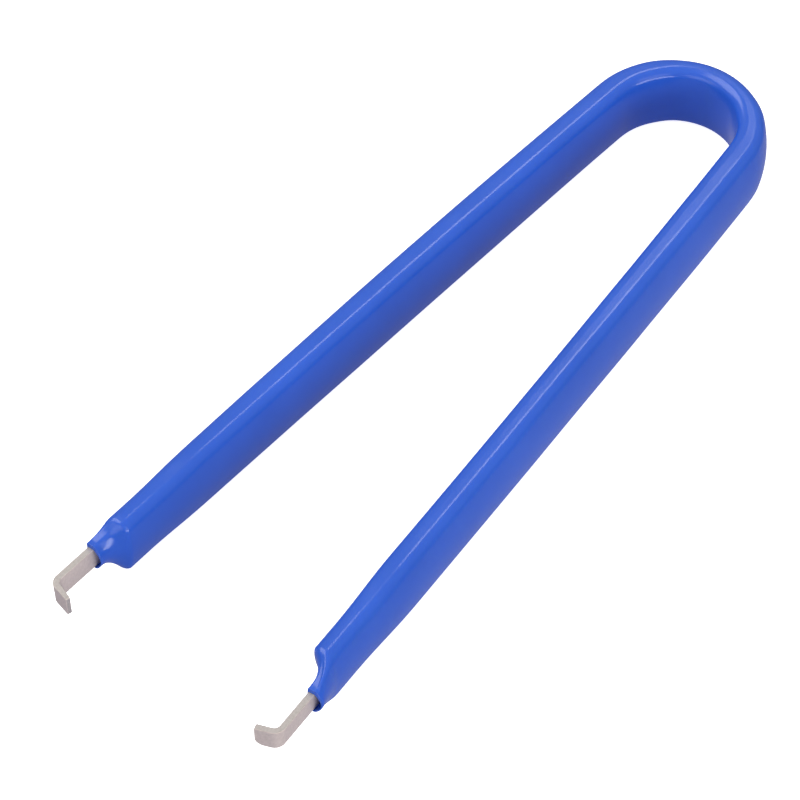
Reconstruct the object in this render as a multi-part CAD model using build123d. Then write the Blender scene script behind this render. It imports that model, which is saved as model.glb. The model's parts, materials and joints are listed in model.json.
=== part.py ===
from build123d import *
import os
from dataclasses import dataclass
from math import cos, radians, sin

# A one-piece spring chip extractor: a bent spring-steel strip with a claw at each end, in a dipped coating.
# Millimetres. +Z is up, with the tool lying on its long edges. The bow is at +Y and the claws are at -Y.
# The origin is the centre of the bounding box, at its bottom.

# Bow and arms, along the middle of the strip
APEX_RADIUS = 10.75         # of the bow, either side of its apex
APEX_TURN = 45.0            # degrees that the strip turns at that radius on each side
SIDE_RADIUS = 11.55         # of the bow, from there to the arm
FLEX_DISTANCE = 8.0         # from the end of the bow to the line about which an arm bends
FLEX_GAP = 0.04             # clearance between the cut faces at that line

# Steel strip
STRIP_THICKNESS = 0.8
STRIP_WIDTH = 7.0           # inside the coating
BLADE_WIDTH = 2.9           # bare end of each arm
BARE_LENGTH = 7.8           # from the coating's end to the front of the claw
STRIP_TAPER_START = 5.6     # from the coating's end, back to where the strip starts to narrow
STRIP_TAPER_LENGTH = 2.6
CLAW_TURN = 75.0            # degrees, from the blade's direction
CLAW_INNER_RADIUS = 0.7
CLAW_FLAT = 1.9             # straight part of the claw beyond its bend
CLAW_LOWER_CORNER = 1.1     # rounding of the claw's free corners
CLAW_UPPER_CORNER = 0.3

# Coating
COATING_WIDTH = 9.3         # height of the tool as it lies
COATING_THICKNESS = 3.2     # at the edges of the broad faces
COATING_CROWN = 0.5         # how far each broad face bulges at its middle
COATING_CORNER = 1.2
COATING_INSET = 0.85        # from the strip's middle inwards to the coating's middle
NECK_WIDTH = 4.0
NECK_THICKNESS = 2.5
NECK_CORNER = 1.1
NECK_CROWN = 0.15
NECK_LENGTH = 1.3           # straight part of the neck, at the mouth
SHOULDER_LENGTH = 3.3
SHOULDER_STEPS = 6          # sections in the shoulder's S-curve
MOUTH_WIDTH = 3.26          # lens-shaped pocket round the blade
MOUTH_THICKNESS = 1.8
MOUTH_DEPTH = 1.8


@dataclass
class Side:
    """One arm: its name, its sign along X, its angle from the middle plane and its coated length along Y."""

    name: str
    sign: int
    splay: float
    reach: float


LEFT = Side("left", -1, 3.3, 111.0)
RIGHT = Side("right", 1, 3.6, 113.2)


def side_centre():
    """Centre of the bow's side arc on the +X side, with the strip's apex at the origin."""
    shift = SIDE_RADIUS - APEX_RADIUS
    angle = radians(APEX_TURN)
    return Vector(-shift * sin(angle), -APEX_RADIUS - shift * cos(angle), 0)


def bow_end(side):
    """Where the bow meets the arm, drawn on the +X side."""
    angle = radians(side.splay)
    return side_centre() + Vector(SIDE_RADIUS * cos(angle), SIDE_RADIUS * sin(angle), 0)


def arm_length(side):
    """From the end of the bow to the mouth of the coating, along the arm."""
    return (side.reach + bow_end(side).Y) / cos(radians(side.splay))


def arm_plane(side):
    """Plane of an arm on the +X side: x along the arm towards the claw, y outwards, z up."""
    angle = radians(side.splay)
    return Plane(origin=bow_end(side), x_dir=(sin(angle), -cos(angle), 0), z_dir=(0, 0, 1))


def place(shape, side):
    """A shape drawn in an arm's own axes, put on its side of the tool."""
    placed = arm_plane(side).location * shape
    return mirror(placed, about=Plane.YZ) if side.sign < 0 else placed


def coating_section(width, thickness, crown, corner):
    """Section of the coating: flat edges, crowned broad faces and round corners. x is across, y is up."""
    half_x = thickness / 2
    half_y = width / 2
    outline = [
        Line((-half_x, half_y), (half_x, half_y)),
        ThreePointArc((half_x, half_y), (half_x + crown, 0), (half_x, -half_y)),
        Line((half_x, -half_y), (-half_x, -half_y)),
        ThreePointArc((-half_x, -half_y), (-half_x - crown, 0), (-half_x, half_y)),
    ]
    section = make_face(outline)
    return fillet(section.vertices(), corner)


def full_section():
    section = coating_section(COATING_WIDTH, COATING_THICKNESS, COATING_CROWN, COATING_CORNER)
    return Pos(-COATING_INSET, 0) * section


def strip_section():
    return Rectangle(STRIP_THICKNESS, STRIP_WIDTH)


def across_arm(distance):
    """Plane square to an arm at a distance along it: its x is outwards and its y is up."""
    return Plane(origin=(distance, 0, 0), x_dir=(0, 1, 0), z_dir=(1, 0, 0))


def half_bow(section, side):
    """A section carried from the bow's apex to the flex line of one arm, drawn on the +X side."""
    apex_plane = Plane(origin=(0, 0, 0), x_dir=(0, 1, 0), z_dir=(1, 0, 0))
    turned = Rot(0, 0, -APEX_TURN)
    apex_axis = Axis((0, -APEX_RADIUS, 0), (0, 0, -1))
    side_axis = Axis(side_centre(), (0, 0, -1))
    apex_centre = Pos(0, -APEX_RADIUS)
    side_face = apex_centre * turned * Pos(0, APEX_RADIUS) * (apex_plane * section)
    apex_arc = revolve(apex_plane * section, apex_axis, APEX_TURN)
    side_arc = revolve(side_face, side_axis, 90 - side.splay - APEX_TURN)
    stub = extrude(across_arm(0) * section, FLEX_DISTANCE - FLEX_GAP / 2)
    return apex_arc + side_arc + arm_plane(side).location * stub


def bow_bar(section):
    """A section carried round the whole bow and on to the flex line of each arm."""
    return half_bow(section, RIGHT) + mirror(half_bow(section, LEFT), about=Plane.YZ)


def claw_plan(start, bend):
    """Plan of the arm's strip in the arm's own axes, from a start distance to the tip of the claw."""
    half = STRIP_THICKNESS / 2
    outer_bend = JernArc((bend, half), (1, 0), CLAW_INNER_RADIUS + STRIP_THICKNESS, -CLAW_TURN)
    inner_bend = JernArc((bend, -half), (1, 0), CLAW_INNER_RADIUS, -CLAW_TURN)
    reach = (outer_bend % 1) * CLAW_FLAT
    outer_tip = Line(outer_bend @ 1, outer_bend @ 1 + reach)
    inner_tip = Line(inner_bend @ 1, inner_bend @ 1 + reach)
    edges = [
        Line((start, -half), (start, half)),
        Line((start, half), (bend, half)),
        outer_bend,
        outer_tip,
        Line(outer_tip @ 1, inner_tip @ 1),
        inner_tip,
        inner_bend,
        Line((start, -half), (bend, -half)),
    ]
    return make_face(edges)


def strip_widths(start, mouth):
    """Side outline of the arm's strip: full width, then a taper, then the blade."""
    taper = mouth - STRIP_TAPER_START
    far = mouth + 2 * BARE_LENGTH
    upper = [
        (start - 1, STRIP_WIDTH / 2),
        (taper, STRIP_WIDTH / 2),
        (taper + STRIP_TAPER_LENGTH, BLADE_WIDTH / 2),
        (far, BLADE_WIDTH / 2),
    ]
    lower = [(x, -z) for x, z in reversed(upper)]
    return make_face(Polyline(*upper, *lower, close=True))


def arm_strip(side):
    """The arm's part of the steel strip, with its blade and its claw."""
    mouth = arm_length(side)
    start = FLEX_DISTANCE + FLEX_GAP / 2
    bend = mouth + BARE_LENGTH - claw_depth()
    plan = extrude(claw_plan(start, bend), STRIP_WIDTH / 2, both=True)
    widths = extrude(Plane.XZ * strip_widths(start, mouth), 2 * BARE_LENGTH, both=True)
    strip = plan & widths
    corners = ((BLADE_WIDTH / 2, CLAW_UPPER_CORNER), (-BLADE_WIDTH / 2, CLAW_LOWER_CORNER))
    for height, radius in corners:
        corner = claw_tip(bend) + Vector(0, 0, height)
        strip = fillet(strip.edges().sort_by_distance(corner)[0], radius)
    return strip


def claw_depth():
    """How far the claw's front reaches beyond the start of its bend, along the arm."""
    turn = radians(CLAW_TURN)
    return (CLAW_INNER_RADIUS + STRIP_THICKNESS) * sin(turn) + CLAW_FLAT * cos(turn)


def claw_tip(bend):
    """Middle of the claw's end face, in the arm's own axes."""
    turn = radians(CLAW_TURN)
    middle_radius = CLAW_INNER_RADIUS + STRIP_THICKNESS / 2
    x = bend + middle_radius * sin(turn) + CLAW_FLAT * cos(turn)
    y = -middle_radius * (1 - cos(turn)) - CLAW_FLAT * sin(turn)
    return Vector(x, y, 0)


def arm_skin(side):
    """Outer shape of the arm's coating, from the flex line to the mouth."""
    mouth = arm_length(side)
    start = FLEX_DISTANCE + FLEX_GAP / 2
    neck_start = mouth - NECK_LENGTH
    shoulder_start = neck_start - SHOULDER_LENGTH
    straight = extrude(across_arm(start) * full_section(), shoulder_start - start)
    sections = []
    for step in range(SHOULDER_STEPS + 1):
        share = step / SHOULDER_STEPS
        ease = share * share * (3 - 2 * share)
        section = coating_section(
            COATING_WIDTH + (NECK_WIDTH - COATING_WIDTH) * ease,
            COATING_THICKNESS + (NECK_THICKNESS - COATING_THICKNESS) * ease,
            COATING_CROWN + (NECK_CROWN - COATING_CROWN) * ease,
            COATING_CORNER + (NECK_CORNER - COATING_CORNER) * ease,
        )
        inset = Pos(-COATING_INSET * (1 - ease), 0)
        sections.append(across_arm(shoulder_start + share * SHOULDER_LENGTH) * inset * section)
    shoulder = loft(sections)
    neck = extrude(sections[-1], NECK_LENGTH)
    return straight + shoulder + neck


def arm_coating(side):
    """The arm's coating: its skin less the strip's space and the lens-shaped pocket at the mouth."""
    mouth = arm_length(side)
    pocket_face = across_arm(mouth - MOUTH_DEPTH) * Ellipse(MOUTH_THICKNESS / 2, MOUTH_WIDTH / 2)
    pocket = extrude(pocket_face, 2 * MOUTH_DEPTH)
    return arm_skin(side) - arm_strip(side) - pocket


def build():
    """Every node's shape, with the origin moved to the bottom centre of the whole."""
    bow_strip = bow_bar(strip_section())
    shapes = {
        "spring_bow": bow_strip,
        "bow_coating": bow_bar(full_section()) - bow_strip,
    }
    for side in (LEFT, RIGHT):
        shapes[f"{side.name}_arm_strip"] = place(arm_strip(side), side)
        shapes[f"{side.name}_arm_coating"] = place(arm_coating(side), side)
    box = Compound(children=[Compound(shape.solids()) for shape in shapes.values()]).bounding_box()
    shift = Location((-box.center().X, -box.center().Y, -box.min.Z))
    return {name: shift * shape for name, shape in shapes.items()}, shift


def interfaces(shift):
    """Print the places of the hinges, mouths and claws, in millimetres, for the part's data sheet."""
    hinge = Vector(FLEX_DISTANCE, -COATING_INSET - COATING_THICKNESS / 2 - COATING_CROWN, 0)
    turn = radians(CLAW_TURN)
    for side in (LEFT, RIGHT):
        mouth = arm_length(side)
        bend = mouth + BARE_LENGTH - claw_depth()
        lip_x = bend + CLAW_INNER_RADIUS * sin(turn) + CLAW_FLAT / 2 * cos(turn)
        lip_y = -STRIP_THICKNESS / 2 - CLAW_INNER_RADIUS * (1 - cos(turn)) - CLAW_FLAT / 2 * sin(turn)
        points = {
            "hinge": hinge,
            "mouth": Vector(mouth, 0, 0),
            "claw_end": claw_tip(bend),
            "lip": Vector(lip_x, lip_y, 0),
        }
        for label, point in points.items():
            placed = arm_plane(side).from_local_coords(point)
            x = side.sign * placed.X + shift.position.X
            print(side.name, label, round(x, 4), round(placed.Y + shift.position.Y, 4))
        normal = -sin(turn) * arm_plane(side).x_dir - cos(turn) * arm_plane(side).y_dir
        print(side.name, "lip_normal", round(side.sign * normal.X, 6), round(normal.Y, 6))
    inner_radius = APEX_RADIUS - COATING_INSET - COATING_THICKNESS / 2 - COATING_CROWN
    print("whole apex", round(shift.position.X, 4), round(shift.position.Y - COATING_INSET, 4))
    print("whole bow_inner_radius", round(inner_radius, 4))
    print("whole bow_centre", round(shift.position.Y - APEX_RADIUS, 4))
    print("whole height", COATING_WIDTH)


os.makedirs("parts", exist_ok=True)
nodes, origin_shift = build()
for name, shape in nodes.items():
    export_step(shape.solids()[0], f"parts/{name}.step")
interfaces(origin_shift)
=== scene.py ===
import json
from math import cos, pi, radians, sin, sqrt

import bmesh
import bpy
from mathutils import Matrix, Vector


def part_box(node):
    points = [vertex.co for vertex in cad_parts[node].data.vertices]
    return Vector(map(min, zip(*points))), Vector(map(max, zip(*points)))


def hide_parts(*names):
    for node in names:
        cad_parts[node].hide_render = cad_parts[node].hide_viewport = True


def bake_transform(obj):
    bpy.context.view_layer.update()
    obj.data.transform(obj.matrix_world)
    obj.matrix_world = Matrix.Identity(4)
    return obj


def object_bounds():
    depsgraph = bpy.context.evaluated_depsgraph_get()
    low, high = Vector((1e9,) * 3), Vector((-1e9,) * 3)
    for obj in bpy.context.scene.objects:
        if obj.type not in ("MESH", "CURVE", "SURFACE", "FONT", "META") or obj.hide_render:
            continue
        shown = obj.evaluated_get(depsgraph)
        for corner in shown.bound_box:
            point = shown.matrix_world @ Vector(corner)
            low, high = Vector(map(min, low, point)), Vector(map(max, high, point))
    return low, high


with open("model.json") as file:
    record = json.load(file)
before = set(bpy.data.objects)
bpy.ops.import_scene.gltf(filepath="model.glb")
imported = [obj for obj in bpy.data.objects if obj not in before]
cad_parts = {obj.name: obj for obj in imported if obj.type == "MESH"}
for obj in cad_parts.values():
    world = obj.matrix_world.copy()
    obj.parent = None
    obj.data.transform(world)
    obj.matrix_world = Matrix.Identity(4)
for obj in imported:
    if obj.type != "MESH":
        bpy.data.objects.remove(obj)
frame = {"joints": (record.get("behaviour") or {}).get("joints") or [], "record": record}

# A one-piece spring chip extractor lying on its long edges: one bent steel strip with a claw at each end,
# in one dipped vinyl coating. Shapes are worked out in millimetres and become metres in the meshes.

cad_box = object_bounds()
MM = 0.001

# ---------------------------------------------------------------- places from the frame
MOUNTS = {mount["name"]: mount for mount in frame["record"]["mounts"]}
JOINTS = {joint["name"]: joint for joint in frame["joints"]}
APEX = Vector(MOUNTS["resting_edge"]["pos_m"]) / MM      # middle of the coating at the bow's apex
MIDDLE_Z = (cad_box[0].z + cad_box[1].z) / 2 / MM        # half-way up the tool as it lies

# ---------------------------------------------------------------- sizes, in millimetres
COATING_INSET = 0.85         # from the strip's middle inwards to the coating's middle
EARLY_ARM = 14.0             # first part of an arm, which curves in a little more than the rest
ENDLESS = 1000.0             # length of an arm's last part, which stops at the mouth long before
BEND_BLEND = 3.0             # length over which one curve passes into the next
ARM_LENGTH = 95.0            # over which an arm's drift builds up

COATING_CROWN = 0.68         # bulge of the broad faces
COATING_CORNER = 1.1
NECK_WIDTH = 3.85
NECK_RISE = 0.45             # of the neck above the middle of the arm
NECK_LENGTH = 0.4
NECK_CORNER = 0.25
SHOULDER_ROUNDING = 0.2      # share of the shoulder's length
THIN_WALL = 0.08             # of the neck on the blade's -X side
THICK_WALL = 0.2             # of the neck on the blade's +X side
LIP_RADIUS = 0.035           # rounding of the mouth's rim
MOUTH_CLEARANCE = 0.03       # round the blade in the mouth
MOUTH_GAP = 1.0              # between the blade and the mouth's open +X side
MOUTH_DEPTH = 1.8
TUNNEL_CLEARANCE = 0.01      # between the coating and the strip inside it

STRIP_THICKNESS = 0.82
STRIP_WIDTH = 6.4            # inside the coating
STRIP_BEVEL = 0.09           # worn edges of the strip
STRIP_TAPER_START = 9.0      # from the mouth, back to where the strip starts to narrow
STRIP_TAPER_LENGTH = 2.6
BLADE_WIDTH = 2.95
BLADE_RISE = 0.2             # of the blade above the middle of the arm
BLADE_LEAN = 3.2             # degrees by which a blade's upper edge leans outwards
CLAW_TURN = 75.0             # degrees, from the blade's direction
CLAW_INNER_RADIUS = 0.7
CLAW_UPPER_CORNER = 0.3
CAP_INSET_SHARE = 0.85       # of the bevel, by which the flat end of the claw is smaller on each side
SLIT_SLOPE = 0.8             # a face that slopes up or down more than this belongs to a slit edge

# Height and thickness of the coating at places along an arm, as (distance from the apex, size).
# These three lists began as results of a fitting program and were smoothed and partly changed. The
# bow_radii, arm_turn and bends of LEFT and RIGHT, COATING_CROWN and the VIEW_ values of the camera are rounded
# results of that program. None of them is worked out from a few driving dimensions.
COATING_WIDTHS = [(0, 9.44), (17, 9.30), (60, 9.38), (98, 9.0), (110, 8.2)]
LEFT_THICKNESSES = [
    (0, 2.66), (5, 2.64), (10, 3.0), (18, 3.22), (45, 3.36), (65, 3.30), (85, 3.17), (102, 3.0), (110, 2.8),
]
RIGHT_THICKNESSES = [
    (0, 2.66), (5, 2.64), (10, 3.0), (18, 3.44), (27, 3.4), (45, 3.2), (65, 3.0), (100, 3.0), (112, 2.55),
]


class Side:
    """One half of the tool, with the shape of its bow, arm and claw.
    bow_radii are of the coating's middle, over equal shares of arm_turn degrees. Bends are per millimetre.
    drift is how much further the strip lies from the coating's middle at the arm's end.
    mouth_forward and bare_length are measured from the end of that arm's coating in the frame.
    shoulder_powers are for the coating's -X and +X faces: a higher one drops more steeply at the start.
    shoulder_lead is how much earlier the -X face drops at its bottom than at its top.
    claw_thinning is how much thinner the claw's end is than the strip."""

    def __init__(self, name, sign, bow_radii, arm_turn, early_bend, arm_bend, drift, thicknesses,
                 shoulder_length, shoulder_powers, shoulder_lead, mouth_forward, bare_length,
                 claw_flat, claw_thinning, claw_lower_corner):
        self.name = name
        self.sign = sign
        self.bow_radii = bow_radii
        self.arm_turn = arm_turn
        self.early_bend = early_bend
        self.arm_bend = arm_bend
        self.drift = drift
        self.thicknesses = thicknesses
        self.shoulder_length = shoulder_length
        self.shoulder_powers = shoulder_powers
        self.shoulder_lead = shoulder_lead
        self.mouth_forward = mouth_forward
        self.bare_length = bare_length
        self.claw_flat = claw_flat
        self.claw_thinning = claw_thinning
        self.claw_lower_corner = claw_lower_corner
        self.mouth_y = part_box(f"{name}_arm_coating")[0].y / MM - mouth_forward
        self.hinge = Vector(JOINTS[f"{name}_arm_flex"]["pos_m"]) / MM

    def claw_depth(self):
        """How far the claw's front reaches beyond the start of its bend, along the blade."""
        turn = radians(CLAW_TURN)
        return (CLAW_INNER_RADIUS + STRIP_THICKNESS) * sin(turn) + self.claw_flat * cos(turn)


LEFT = Side(
    "left", -1, bow_radii=(9.77, 9.43, 9.67, 10.06, 10.75, 11.22, 10.32), arm_turn=85.44,
    early_bend=6.1e-4, arm_bend=3.0e-4, drift=0.24, thicknesses=LEFT_THICKNESSES,
    shoulder_length=3.6, shoulder_powers=(2.2, 2.2), shoulder_lead=0.0, mouth_forward=0.1, bare_length=7.8,
    claw_flat=2.28, claw_thinning=0.2, claw_lower_corner=0.3,
)
RIGHT = Side(
    "right", 1, bow_radii=(9.39, 10.24, 10.11, 10.46, 10.97, 10.68, 10.50), arm_turn=85.82,
    early_bend=7.4e-4, arm_bend=2.0e-4, drift=0.20, thicknesses=RIGHT_THICKNESSES,
    shoulder_length=4.4, shoulder_powers=(2.8, 0.8), shoulder_lead=2.0, mouth_forward=0.6, bare_length=8.35,
    claw_flat=2.0, claw_thinning=0.0, claw_lower_corner=1.1,
)


# ---------------------------------------------------------------- the line that the strip follows
PATH_STEP = 0.05             # of the numeric path, in millimetres


def ease(share):
    share = min(max(share, 0.0), 1.0)
    return share * share * (3 - 2 * share)


def stepped(distance, stretches, blend):
    """The value of the stretch that a distance falls in, passing smoothly from each stretch to the next.
    stretches are (length, value), and the last one has no end."""
    value = stretches[0][1]
    start = 0.0
    for (length, before), (_, after) in zip(stretches, stretches[1:]):
        start += length
        value += (after - before) * ease((distance - start) / blend + 0.5)
    return value


def between(distance, places):
    """The size at a distance, eased between the places given as (distance, size)."""
    for (start, first), (end, second) in zip(places, places[1:]):
        if distance <= end:
            return first + (second - first) * ease((distance - start) / (end - start))
    return places[-1][1]


class Path:
    """The middle line of one half of the strip, drawn on the +X side, from the apex to the claw's end."""

    def __init__(self, side):
        turn = radians(side.arm_turn) / len(side.bow_radii)
        radii = [radius + COATING_INSET for radius in side.bow_radii]
        bow = [(radius * turn, 1 / radius) for radius in radii]
        drift_bend = 2 * side.drift / ARM_LENGTH ** 2
        self.arm_start = sum(length for length, _ in bow)
        arm = [(EARLY_ARM, side.early_bend - drift_bend), (ENDLESS, side.arm_bend - drift_bend)]
        claw_radius = CLAW_INNER_RADIUS + STRIP_THICKNESS / 2
        claw_length = claw_radius * radians(CLAW_TURN)
        self.points = []
        self.turns = []
        self.mouth = self.claw_bend = self.bend_end = self.end = None
        x, y, turned, distance = 0.0, APEX.y + COATING_INSET, 0.0, 0.0
        while self.end is None or distance < self.end + PATH_STEP:
            self.points.append((x, y))
            self.turns.append(turned)
            if self.mouth is None:
                bend = stepped(distance + PATH_STEP / 2, bow + arm, BEND_BLEND)
            elif self.claw_bend <= distance < self.bend_end:
                bend = 1 / claw_radius
            else:
                bend = 0.0
            middle = turned + bend * PATH_STEP / 2
            x += PATH_STEP * cos(middle)
            y -= PATH_STEP * sin(middle)
            turned += bend * PATH_STEP
            distance += PATH_STEP
            if self.mouth is None and y < side.mouth_y:
                self.mouth = distance
                self.claw_bend = distance - side.mouth_forward + side.bare_length - side.claw_depth()
                self.bend_end = self.claw_bend + claw_length
                self.end = self.bend_end + side.claw_flat

    def at(self, distance):
        """The point and the outward normal, at a distance along the line."""
        i = min(max(int(distance / PATH_STEP), 0), len(self.points) - 2)
        share = distance / PATH_STEP - i
        x = self.points[i][0] * (1 - share) + self.points[i + 1][0] * share
        y = self.points[i][1] * (1 - share) + self.points[i + 1][1] * share
        turned = self.turns[i] * (1 - share) + self.turns[i + 1] * share
        return Vector((x, y)), Vector((sin(turned), cos(turned)))


# ---------------------------------------------------------------- outlines across the strip
EDGE_STEPS = 4               # along half of a narrow edge
CORNER_STEPS = 10            # round a corner
FACE_STEPS = 12              # along half of a broad face
ON_AXIS = 1e-9               # a point nearer than this to the outline's middle line doesn't move


def rounded_quarter(half_x, half_z, corner):
    """A quarter of a rounded rectangle, from the middle of its narrow top edge to the middle of its face."""
    flat_x = half_x - corner
    flat_z = half_z - corner
    points = [(flat_x * i / EDGE_STEPS, half_z) for i in range(EDGE_STEPS)]
    for i in range(CORNER_STEPS):
        angle = pi / 2 * i / CORNER_STEPS
        points.append((flat_x + corner * sin(angle), flat_z + corner * cos(angle)))
    points += [(half_x, flat_z * (1 - i / FACE_STEPS)) for i in range(FACE_STEPS)]
    return points


def whole_outline(quarter, last):
    """Four copies of a quarter outline, clockwise from the top. last is the quarter's end, on its face."""
    right_bottom = [last] + [(x, -z) for x, z in reversed(quarter[1:])]
    half = quarter + right_bottom
    bottom = (0.0, -quarter[0][1])
    left = [bottom] + [(-x, z) for x, z in reversed(half[1:])]
    return half + left


def rectangle(width, thickness, corner, crown=0.0):
    """Outline with round corners, and faces that bulge by crown. x is across the strip, z is up."""
    half_x, half_z = thickness / 2, width / 2
    outline = whole_outline(rounded_quarter(half_x, half_z, corner), (half_x, 0.0))
    bulged = []
    for x, z in outline:
        side = (x > ON_AXIS) - (x < -ON_AXIS)
        bulged.append((x + side * crown * (1 - (z / half_z) ** 2), z))
    return bulged


def mixed(first, second, share):
    pairs = zip(first, second)
    return [(a[0] + (b[0] - a[0]) * share, a[1] + (b[1] - a[1]) * share) for a, b in pairs]


def shrunk(outline, amount):
    """The outline moved inwards by an amount along its own normals."""
    count = len(outline)
    moved = []
    for i in range(count):
        before, after = outline[i - 1], outline[(i + 1) % count]
        tangent = Vector((after[0] - before[0], after[1] - before[1])).normalized()
        inwards = Vector((tangent.y, -tangent.x))
        point = Vector(outline[i]) + inwards * amount
        moved.append((point.x, point.y))
    return moved


# ---------------------------------------------------------------- meshes
def ring(path, side, distance, outline, rise, lean):
    """The outline put across the strip at a distance along its line, in metres in the row frame.
    rise is up, and lean is how far outwards a point goes for each unit up."""
    point, outward = path.at(distance)
    placed = []
    for x, z in outline:
        plan = point + outward * (x + lean * z)
        placed.append(Vector((APEX.x + side.sign * plan.x, plan.y, MIDDLE_Z + z + rise)) * MM)
    return placed


def band(mesh, first, second, flip, smooth):
    """Four-sided faces all the way round, between two rings of vertices."""
    count = len(first)
    for i in range(count):
        j = (i + 1) % count
        corners = [first[i], first[j], second[j], second[i]]
        mesh.faces.new(reversed(corners) if flip else corners).smooth = smooth


def crease(mesh, loop):
    """Makes the edges round a ring sharp."""
    for first, second in zip(loop, loop[1:] + loop[:1]):
        mesh.edges.get((first, second)).smooth = False


def close_ring(mesh, loop, flip):
    """A flat end of triangles round its middle, because one many-sided face would be cut into slivers."""
    centre = mesh.verts.new(sum((vertex.co for vertex in loop), Vector()) / len(loop))
    for first, second in zip(loop, loop[1:] + loop[:1]):
        corners = [first, second, centre]
        mesh.faces.new(reversed(corners) if flip else corners).smooth = False
    crease(mesh, loop)


def mesh_from_rings(name, rings, flip, closed_loop):
    """A closed mesh over the rings. closed_loop joins the last ring to the first, as on a tube with a wall:
    in the coating that is the flat ring at the apex, between the tunnel and the skin."""
    mesh = bmesh.new()
    loops = [[mesh.verts.new(point) for point in points] for points in rings]
    for first, second in zip(loops, loops[1:]):
        band(mesh, first, second, flip, smooth=True)
    if closed_loop:
        band(mesh, loops[-1], loops[0], flip, smooth=False)
        crease(mesh, loops[-1])
        crease(mesh, loops[0])
    else:
        close_ring(mesh, loops[0], not flip)
        close_ring(mesh, loops[-1], flip)
    data = bpy.data.meshes.new(name)
    mesh.to_mesh(data)
    mesh.free()
    piece = bpy.data.objects.new(name, data)
    bpy.context.scene.collection.objects.link(piece)
    return piece


# ---------------------------------------------------------------- where the rings are along the strip
# Starts and steps are in millimetres, from the apex.
SEAM_STEP = 0.02             # from the seam at the apex to the next ring
EVEN_START = 0.4             # where the evenly spaced rings start
BOW_REACH = 30.0             # where the rings get further apart, because the arm hardly bends from there
COATING_BOW_STEP = 0.4
COATING_ARM_STEP = 1.0
SHOULDER_STEP = 0.12
STRIP_BOW_STEP = 0.5
STRIP_ARM_STEP = 2.0
BLADE_STEP = 0.3
CLAW_BEND_STEP = 0.08
CLAW_FLAT_STEP = 0.1
CLAW_CROWDING = 1.5          # power that puts the rings of the claw's corner closer together near its end
RIM_STEPS = 6                # rings round each half of the mouth's rim
POCKET_STEPS = 8             # rings from the rim to the tunnel
CLAW_CORNER_STEPS = 24       # rings round the claw's lower corner
BEVEL_STEPS = 4              # rings round the worn edge of the claw's end


def stations(start, end, spacing):
    """Evenly spaced distances from start up to, but without, end."""
    count = max(1, round((end - start) / spacing))
    return [start + (end - start) * i / count for i in range(count)]


# ---------------------------------------------------------------- how the strip narrows to its blade
def strip_width(path, distance):
    taper = path.mouth - STRIP_TAPER_START
    share = min(max((distance - taper) / STRIP_TAPER_LENGTH, 0.0), 1.0)
    return STRIP_WIDTH + (BLADE_WIDTH - STRIP_WIDTH) * share


def bared(path, distance):
    """How far the strip has passed into its raised and leaning blade, from 0 to 1."""
    return ease((distance - path.mouth + STRIP_TAPER_START) / STRIP_TAPER_LENGTH)


def blade_rise(path, distance):
    return BLADE_RISE * bared(path, distance)


def blade_lean(path, distance):
    return radians(BLADE_LEAN) * bared(path, distance)


def strip_ring(path, side, distance, outline):
    """A ring that rises and leans as the strip does there."""
    return ring(path, side, distance, outline, blade_rise(path, distance), blade_lean(path, distance))


# ---------------------------------------------------------------- coating
def necked(side, path, distance, power):
    """How far the coating has narrowed to its neck, from 0 to 1, after a rounded corner."""
    start = path.mouth - NECK_LENGTH - side.shoulder_length
    share = min(max((distance - start) / side.shoulder_length, 0.0), 1.0)
    if share < SHOULDER_ROUNDING:
        along = share ** 2 / (2 * SHOULDER_ROUNDING)
    else:
        along = share - SHOULDER_ROUNDING / 2
    return 1 - (1 - along / (1 - SHOULDER_ROUNDING / 2)) ** power


def opened(side, outline, half_width, thin_side, thick_side):
    """A strip outline widened by thin_side on its -X face, and on its +X face by thick_side and a bulge."""
    widened = []
    for x, z in outline:
        if x * side.sign > 0:
            x += side.sign * (thick_side + MOUTH_GAP * max(1 - (z / half_width) ** 2, 0.0))
        else:
            x -= side.sign * thin_side
        widened.append((x, z))
    return widened


def neck_outline(side):
    outline = rectangle(NECK_WIDTH, STRIP_THICKNESS, NECK_CORNER)
    clear = MOUTH_CLEARANCE
    return opened(side, outline, NECK_WIDTH / 2, THIN_WALL + clear, THICK_WALL + clear)


def mouth_outline(side):
    clear = MOUTH_CLEARANCE
    outline = rectangle(BLADE_WIDTH + 2 * clear, STRIP_THICKNESS + 2 * clear, STRIP_BEVEL)
    return opened(side, outline, BLADE_WIDTH / 2 + clear, 0.0, 0.0)


def tunnel_outline(path, distance):
    clear = TUNNEL_CLEARANCE
    width = strip_width(path, distance) + 2 * clear
    return rectangle(width, STRIP_THICKNESS + 2 * clear, STRIP_BEVEL)


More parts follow.
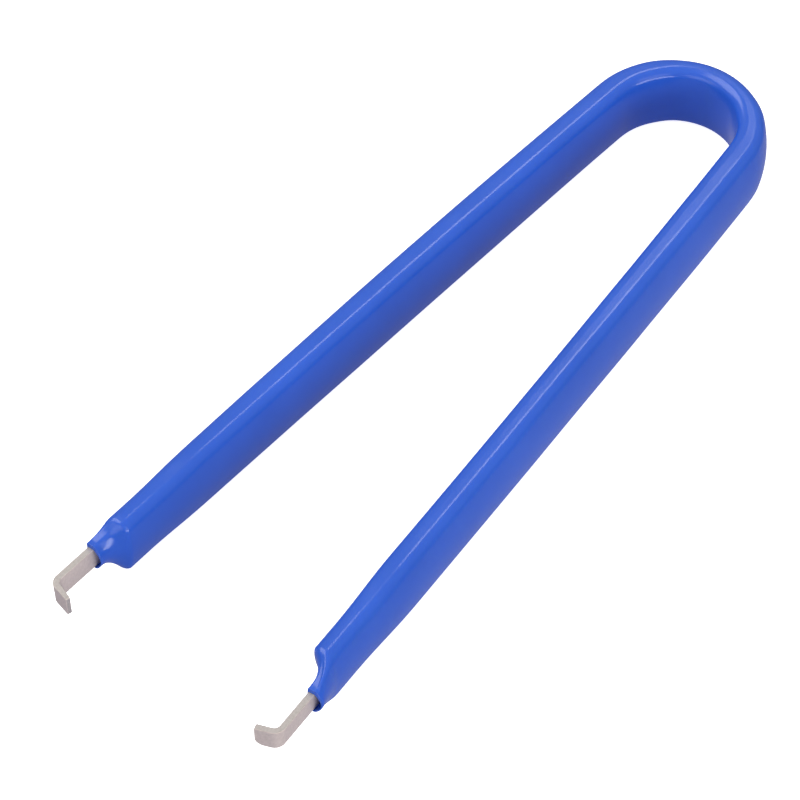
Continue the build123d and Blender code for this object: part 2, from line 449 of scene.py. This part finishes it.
def coating_ring(side, path, distance, inset_by=0.0):
    """The coating's outside at a distance from the apex, shrunk by an amount for the mouth's rim."""
    minus_x_power, plus_x_power = side.shoulder_powers
    middle = necked(side, path, distance, (minus_x_power + plus_x_power) / 2)
    width = between(distance, COATING_WIDTHS)
    thickness = between(distance, side.thicknesses)
    arm_share = max(distance - path.arm_start, 0.0) / ARM_LENGTH
    inset = COATING_INSET + side.drift * arm_share ** 2
    body = [(x - inset, z) for x, z in rectangle(width, thickness, COATING_CORNER, COATING_CROWN)]
    neck = [(x, z + NECK_RISE) for x, z in neck_outline(side)]
    outline = []
    for on_body, on_neck in zip(body, neck):
        towards_plus_x = ease(0.5 + side.sign * (on_body[0] + inset) / thickness)
        power = minus_x_power + (plus_x_power - minus_x_power) * towards_plus_x
        lead = side.shoulder_lead * (1 - towards_plus_x) * (0.5 - on_body[1] / width)
        share = necked(side, path, distance + lead, power)
        outline += mixed([on_body], [on_neck], share)
    rise = max(width / 2 - MIDDLE_Z, 0.0) * (1 - middle)
    lean = blade_lean(path, distance) * middle
    return ring(path, side, distance, shrunk(outline, inset_by), rise, lean)


def pocket_ring(side, path, distance, outline):
    return ring(path, side, distance, outline, BLADE_RISE, blade_lean(path, distance))


def skin_rings(side, path):
    """The outside, from the apex to the mouth's rim."""
    shoulder = path.mouth - NECK_LENGTH - side.shoulder_length - side.shoulder_lead
    places = [0.0, SEAM_STEP] + stations(EVEN_START, BOW_REACH, COATING_BOW_STEP)
    places += stations(BOW_REACH, shoulder, COATING_ARM_STEP)
    places += stations(shoulder, path.mouth - LIP_RADIUS, SHOULDER_STEP)
    return [coating_ring(side, path, distance) for distance in places]


def rim_rings(side, path, opening):
    """Round the rim of the mouth, from the outside to the opening."""
    angles = [pi / 2 * i / RIM_STEPS for i in range(RIM_STEPS + 1)]
    edge = path.mouth - LIP_RADIUS
    rings = []
    for angle in angles:
        distance = edge + LIP_RADIUS * sin(angle)
        rings.append(coating_ring(side, path, distance, LIP_RADIUS * (1 - cos(angle))))
    for angle in reversed(angles):
        widened = shrunk(opening, -LIP_RADIUS * (1 - cos(angle)))
        rings.append(pocket_ring(side, path, edge + LIP_RADIUS * sin(angle), widened))
    return rings


def pocket_rings(side, path, opening):
    """Round the blade, from the opening to the tunnel."""
    closed = tunnel_outline(path, path.mouth - MOUTH_DEPTH)
    edge = path.mouth - LIP_RADIUS
    rings = []
    for i in range(1, POCKET_STEPS + 1):
        share = i / POCKET_STEPS
        distance = edge - (MOUTH_DEPTH - LIP_RADIUS) * share
        rings.append(pocket_ring(side, path, distance, mixed(opening, closed, ease(share) ** 2)))
    return rings


def tunnel_rings(side, path):
    """Round the hidden strip, from the pocket back to the apex."""
    taper = path.mouth - STRIP_TAPER_START
    along_arm = list(reversed(stations(EVEN_START, taper, COATING_ARM_STEP)))
    places = [taper + STRIP_TAPER_LENGTH, taper] + along_arm + [SEAM_STEP, 0.0]
    return [strip_ring(path, side, distance, tunnel_outline(path, distance)) for distance in places]


def make_coating(side, path):
    """Half of the coating: skin, rim of the mouth, pocket round the blade, and tunnel round the strip."""
    opening = mouth_outline(side)
    rings = skin_rings(side, path) + rim_rings(side, path, opening)
    rings += pocket_rings(side, path, opening) + tunnel_rings(side, path)
    piece = mesh_from_rings(f"coating_{side.name}", rings, side.sign < 0, True)
    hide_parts(f"{side.name}_arm_coating", "bow_coating")
    return piece


# ---------------------------------------------------------------- strip
def corner_drop(left, radius):
    """How far a corner of that radius has cut in, at a distance left to the end."""
    if left >= radius:
        return 0.0
    return radius - sqrt(radius ** 2 - (radius - left) ** 2)


def claw_outline(side, path, distance):
    """The strip's outline, cut down near the claw's end to the round corners there."""
    outline = rectangle(strip_width(path, distance), STRIP_THICKNESS, STRIP_BEVEL)
    left = max(path.end - distance, 0.0)
    top = corner_drop(left, CLAW_UPPER_CORNER)
    bottom = corner_drop(left, side.claw_lower_corner)
    half = BLADE_WIDTH / 2
    thinning = side.claw_thinning * ease(1 - left / side.claw_flat)
    cut = []
    for x, z in outline:
        if top or bottom:
            share = (z + half) / (2 * half)
            z = -half + bottom + share * (2 * half - top - bottom)
        if x < 0:
            x *= 1 - thinning / (STRIP_THICKNESS / 2)
        cut.append((x, z))
    return cut


def strip_places(side, path):
    """Distances of the strip's rings, from the apex to where the worn edge of the claw's end starts."""
    taper = path.mouth - STRIP_TAPER_START
    places = [0.0, SEAM_STEP] + stations(EVEN_START, BOW_REACH, STRIP_BOW_STEP)
    places += stations(BOW_REACH, taper, STRIP_ARM_STEP)
    places += stations(taper, taper + STRIP_TAPER_LENGTH, BLADE_STEP)
    places += stations(taper + STRIP_TAPER_LENGTH, path.claw_bend, BLADE_STEP)
    places += stations(path.claw_bend, path.bend_end, CLAW_BEND_STEP)
    places += stations(path.bend_end, path.end - side.claw_lower_corner, CLAW_FLAT_STEP)
    for i in range(CLAW_CORNER_STEPS):
        left = (side.claw_lower_corner - STRIP_BEVEL) * (1 - i / CLAW_CORNER_STEPS) ** CLAW_CROWDING
        places.append(path.end - STRIP_BEVEL - left)
    return places


def make_strip(side, path):
    """Half of the steel strip, from the apex to the end of its claw."""
    rings = []
    for distance in strip_places(side, path):
        rings.append(strip_ring(path, side, distance, claw_outline(side, path, distance)))
    last = claw_outline(side, path, path.end - STRIP_BEVEL)
    for i in range(BEVEL_STEPS + 1):
        angle = pi / 2 * i / BEVEL_STEPS
        distance = path.end - STRIP_BEVEL * (1 - sin(angle))
        outline = shrunk(last, CAP_INSET_SHARE * STRIP_BEVEL * (1 - cos(angle)))
        rings.append(strip_ring(path, side, distance, outline))
    piece = mesh_from_rings(f"strip_{side.name}", rings, side.sign < 0, False)
    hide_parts(f"{side.name}_arm_strip", "spring_bow")
    return piece


def mark_slit_edges(piece):
    """Gives the faces along the strip's narrow edges, and the triangles of its ends, the second material."""
    for face in piece.data.polygons:
        on_slit_edge = abs(face.normal.z) > SLIT_SLOPE
        if on_slit_edge or len(face.vertices) == 3:
            face.material_index = 1


# ---------------------------------------------------------------- materials
NOISE_LOW = 0.3              # the noise from here to NOISE_HIGH is spread over a material's whole range
NOISE_HIGH = 0.7

VINYL_DARK = (0.023, 0.104, 0.57)
VINYL_LIGHT = (0.027, 0.116, 0.62)
VINYL_ROUGHNESS = (0.16, 0.22)
VINYL_GLOW = 0.12                            # share of the light that goes in and comes out nearby
VINYL_GLOW_REACH = (0.3, 0.5, 1.4)           # of its red, green and blue, in millimetres

ROLLED_DARK = (0.62, 0.53, 0.475)
ROLLED_LIGHT = (0.74, 0.64, 0.58)
SLIT_DARK = (0.41, 0.37, 0.345)
SLIT_LIGHT = (0.52, 0.475, 0.45)
STEEL_ROUGHNESS = (0.48, 0.60)
STEEL_METALLIC = 0.3


def new_material(name):
    material = bpy.data.materials.new(name)
    material.use_nodes = True
    tree = material.node_tree
    shader = next(node for node in tree.nodes if node.type == "BSDF_PRINCIPLED")
    return material, tree, shader


def add(tree, kind, **settings):
    node = tree.nodes.new(kind)
    for key, value in settings.items():
        setattr(node, key, value)
    return node


def noise_at(tree, coordinates, scale, detail=2.0, rough=0.5):
    """A noise texture whose scale is in lumps per millimetre."""
    node = add(tree, "ShaderNodeTexNoise")
    node.inputs["Scale"].default_value = scale / MM
    node.inputs["Detail"].default_value = detail
    node.inputs["Roughness"].default_value = rough
    tree.links.new(coordinates, node.inputs["Vector"])
    return node.outputs["Fac"]


def mapped(tree, value, low, high):
    node = add(tree, "ShaderNodeMapRange")
    node.inputs["From Min"].default_value = NOISE_LOW
    node.inputs["From Max"].default_value = NOISE_HIGH
    node.inputs["To Min"].default_value = low
    node.inputs["To Max"].default_value = high
    tree.links.new(value, node.inputs["Value"])
    return node.outputs["Result"]


def mixed_colour(tree, value, first, second):
    node = add(tree, "ShaderNodeMix", data_type="RGBA")
    node.inputs["A"].default_value = (*first, 1)
    node.inputs["B"].default_value = (*second, 1)
    tree.links.new(value, node.inputs["Factor"])
    return node.outputs["Result"]


def bumped(tree, shader, height, distance, strength):
    """Bumps on a material's surface. distance is their height in millimetres."""
    node = add(tree, "ShaderNodeBump")
    node.inputs["Distance"].default_value = distance * MM
    node.inputs["Strength"].default_value = strength
    tree.links.new(height, node.inputs["Height"])
    tree.links.new(node.outputs["Normal"], shader.inputs["Normal"])


def vinyl():
    """Glossy blue dipped vinyl, with slightly uneven colour and gloss, and gentle waves from the dipping."""
    material, tree, shader = new_material("dipped_vinyl")
    place = add(tree, "ShaderNodeTexCoord").outputs["Object"]
    drift = mapped(tree, noise_at(tree, place, scale=0.09), 0.0, 1.0)
    colour = mixed_colour(tree, drift, VINYL_DARK, VINYL_LIGHT)
    tree.links.new(colour, shader.inputs["Base Color"])
    gloss = mapped(tree, noise_at(tree, place, scale=0.4), *VINYL_ROUGHNESS)
    tree.links.new(gloss, shader.inputs["Roughness"])
    waves = noise_at(tree, place, scale=0.16, detail=1.0)
    bumped(tree, shader, waves, distance=0.10, strength=0.5)
    shader.inputs["IOR"].default_value = 1.5
    shader.inputs["Specular IOR Level"].default_value = 0.5
    shader.inputs["Subsurface Weight"].default_value = VINYL_GLOW
    shader.inputs["Subsurface Radius"].default_value = VINYL_GLOW_REACH
    shader.inputs["Subsurface Scale"].default_value = MM
    return material


def steel(name, dark, light):
    """Matt spring steel with a fine mottled grain between two colours."""
    material, tree, shader = new_material(name)
    place = add(tree, "ShaderNodeTexCoord").outputs["Object"]
    grain = noise_at(tree, place, scale=3.0, detail=5.0, rough=0.7)
    colour = mixed_colour(tree, mapped(tree, grain, 0.0, 1.0), dark, light)
    tree.links.new(colour, shader.inputs["Base Color"])
    rough = mapped(tree, noise_at(tree, place, scale=1.2, detail=4.0), *STEEL_ROUGHNESS)
    tree.links.new(rough, shader.inputs["Roughness"])
    shader.inputs["Metallic"].default_value = STEEL_METALLIC
    bumped(tree, shader, grain, distance=0.010, strength=0.5)
    return material


# ---------------------------------------------------------------- the tool
def give(piece, material):
    piece.data.materials.append(material)


def make_tool():
    coating_material = vinyl()
    rolled_steel = steel("grained_steel", ROLLED_DARK, ROLLED_LIGHT)
    slit_steel = steel("slit_steel", SLIT_DARK, SLIT_LIGHT)
    for side in (LEFT, RIGHT):
        path = Path(side)
        coating = make_coating(side, path)
        strip = make_strip(side, path)
        give(coating, coating_material)
        give(strip, rolled_steel)
        give(strip, slit_steel)
        mark_slit_edges(strip)
        for piece in (coating, strip):
            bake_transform(piece)


# ---------------------------------------------------------------- camera
VIEW_AZIMUTH = 35.41         # degrees
VIEW_ELEVATION = 46.77       # degrees
VIEW_DISTANCE = 523.8        # from the target, in millimetres
VIEW_TARGET = Vector((-2.278, -68.144))      # from the coating's middle at the apex, in millimetres
VIEW_LENS = 191.86
SENSOR_WIDTH = 36.0
NEAREST_SEEN = 0.01          # from the camera, in metres
FARTHEST_SEEN = 10.0


def direction(azimuth, elevation):
    """Unit vector from the target towards a viewer. Azimuth 0 is a viewer at -Y, and it grows towards +X."""
    a, e = radians(azimuth), radians(elevation)
    return Vector((sin(a) * cos(e), -cos(a) * cos(e), sin(e)))


def make_camera():
    data = bpy.data.cameras.new("camera")
    data.sensor_fit = "HORIZONTAL"
    data.sensor_width = SENSOR_WIDTH
    data.lens = VIEW_LENS
    data.clip_start = NEAREST_SEEN
    data.clip_end = FARTHEST_SEEN
    target = Vector((APEX.x + VIEW_TARGET.x, APEX.y + VIEW_TARGET.y, MIDDLE_Z)) * MM
    back = direction(VIEW_AZIMUTH, VIEW_ELEVATION)
    camera = bpy.data.objects.new("camera", data)
    camera.location = target + back * VIEW_DISTANCE * MM
    camera.rotation_euler = back.to_track_quat("Z", "Y").to_euler()
    bpy.context.scene.collection.objects.link(camera)
    bpy.context.scene.camera = camera


# ---------------------------------------------------------------- floor and light
FLOOR_REACH = 3.0            # from the middle to each side, in metres
FLOOR_COLOUR = (0.9, 0.9, 0.9, 1)
FLOOR_ROUGHNESS = 0.8
FLOOR_SPECULAR = 0.1
FLOOR_GLOW = 0.85            # added to the floor so that it stays white beside the tool
LIGHT_DISTANCE = 0.9         # from the origin, in metres

# Name, azimuth and elevation in degrees, width and height in metres, and radiance
SOFT_BOXES = [
    ("key", 277, 52, 0.75, 0.65, 2.9),
    ("back", 200, 52, 0.17, 0.26, 4.2),
    ("side", 80, 32, 0.6, 0.5, 1.0),
    ("front", -8, 22, 0.8, 0.5, 1.2),
    ("low_right", 72, 8, 1.0, 0.26, 5.6),
]

# The world's colours from straight down, at 0, to straight up, at 1
WORLD_BELOW = (0.28, 0.30, 0.50, 1)
WORLD_ABOVE = (0.6, 0.6, 0.6, 1)
WORLD_BETWEEN = [(0.30, (0.38, 0.36, 0.46, 1)), (0.52, (0.20, 0.20, 0.20, 1)), (0.70, (0.45, 0.45, 0.45, 1))]


def soft_box(name, azimuth, elevation, width, height, radiance):
    """A soft light that faces the origin."""
    data = bpy.data.lights.new(name, "AREA")
    data.shape = "RECTANGLE"
    data.size = width
    data.size_y = height
    data.energy = radiance * pi * width * height
    light = bpy.data.objects.new(name, data)
    towards = direction(azimuth, elevation)
    light.location = towards * LIGHT_DISTANCE
    light.rotation_euler = towards.to_track_quat("Z", "Y").to_euler()
    bpy.context.scene.collection.objects.link(light)


def make_floor():
    mesh = bmesh.new()
    reach = FLOOR_REACH
    corners = [(-reach, -reach), (reach, -reach), (reach, reach), (-reach, reach)]
    mesh.faces.new([mesh.verts.new((x, y, 0)) for x, y in corners])
    data = bpy.data.meshes.new("floor")
    mesh.to_mesh(data)
    mesh.free()
    floor = bpy.data.objects.new("floor", data)
    bpy.context.scene.collection.objects.link(floor)
    material, _, shader = new_material("pale_floor")
    shader.inputs["Base Color"].default_value = FLOOR_COLOUR
    shader.inputs["Roughness"].default_value = FLOOR_ROUGHNESS
    shader.inputs["Specular IOR Level"].default_value = FLOOR_SPECULAR
    shader.inputs["Emission Color"].default_value = (1, 1, 1, 1)
    shader.inputs["Emission Strength"].default_value = FLOOR_GLOW
    give(floor, material)
    floor.visible_glossy = False
    floor.visible_diffuse = False


def make_world():
    """A plain studio surround that is bluish below, darkest near the horizon and paler above."""
    world = bpy.data.worlds.new("studio")
    bpy.context.scene.world = world
    world.use_nodes = True
    tree = world.node_tree
    background = next(node for node in tree.nodes if node.type == "BACKGROUND")
    place = add(tree, "ShaderNodeTexCoord").outputs["Generated"]
    parts = add(tree, "ShaderNodeSeparateXYZ")
    tree.links.new(place, parts.inputs["Vector"])
    ramp = add(tree, "ShaderNodeValToRGB")
    remap = add(tree, "ShaderNodeMapRange")
    remap.inputs["From Min"].default_value = -1.0
    remap.inputs["From Max"].default_value = 1.0
    tree.links.new(parts.outputs["Z"], remap.inputs["Value"])
    tree.links.new(remap.outputs["Result"], ramp.inputs["Fac"])
    stops = ramp.color_ramp.elements
    stops[0].position, stops[0].color = 0.0, WORLD_BELOW
    stops[1].position, stops[1].color = 1.0, WORLD_ABOVE
    for position, colour in WORLD_BETWEEN:
        stops.new(position).color = colour
    tree.links.new(ramp.outputs["Color"], background.inputs["Color"])
    background.inputs["Strength"].default_value = 1.0


make_tool()
make_camera()
make_floor()
make_world()
for box in SOFT_BOXES:
    soft_box(*box)

bpy.context.scene.view_settings.view_transform = "Standard"
